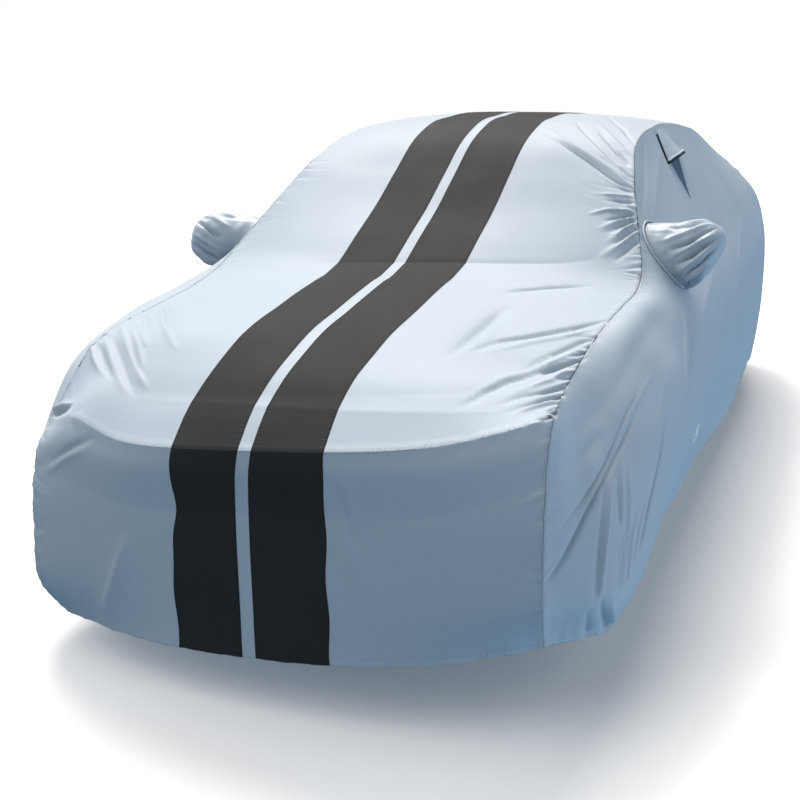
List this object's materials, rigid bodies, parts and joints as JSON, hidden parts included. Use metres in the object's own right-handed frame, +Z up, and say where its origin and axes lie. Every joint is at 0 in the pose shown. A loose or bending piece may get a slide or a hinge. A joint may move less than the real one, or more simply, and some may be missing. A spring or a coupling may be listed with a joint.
{
  "type": "car cover",
  "caption": "Fitted cloth cover for a saloon car, hanging from the roof to just above the ground, with dark stripes, mirror pockets, side air vents and tie-down eyelets.",
  "frame": {"origin": "the point under the top panel, in the middle of the roof, where the car's roof holds the cover up", "axes": "+Z up, -Y towards the front of the car, +X towards the car's own left side"},
  "size_m": [1.997, 4.6016, 1.3889],
  "materials": {
    "cover_cloth": "pale silver-blue coated polyester, soft sheen",
    "stripe_cloth": "black polyester, soft sheen",
    "patch_cloth": "slate blue cloth, matt",
    "binding": "black woven binding, matt",
    "eyelet_metal": "plain pressed ring, satin"
  },
  "bodies": {
    "root": {"top_panel": "cover_cloth", "front_panel": "cover_cloth", "rear_panel": "cover_cloth", "side_panel_left": "cover_cloth", "side_panel_right": "cover_cloth", "stripe_top_left": "stripe_cloth", "stripe_top_right": "stripe_cloth", "stripe_front_left": "stripe_cloth", "stripe_front_right": "stripe_cloth", "stripe_rear_left": "stripe_cloth", "stripe_rear_right": "stripe_cloth", "mirror_pocket_left": "cover_cloth", "mirror_pocket_right": "cover_cloth", "vent_hood_left": "cover_cloth", "vent_hood_right": "cover_cloth", "vent_edge_left": "binding", "vent_edge_right": "binding", "vent_patch_left": "patch_cloth", "vent_patch_right": "patch_cloth", "eyelet_strip_left": "cover_cloth", "eyelet_strip_right": "cover_cloth", "eyelet_ring_left": "eyelet_metal", "eyelet_ring_right": "eyelet_metal"}
  },
  "joints": []
}
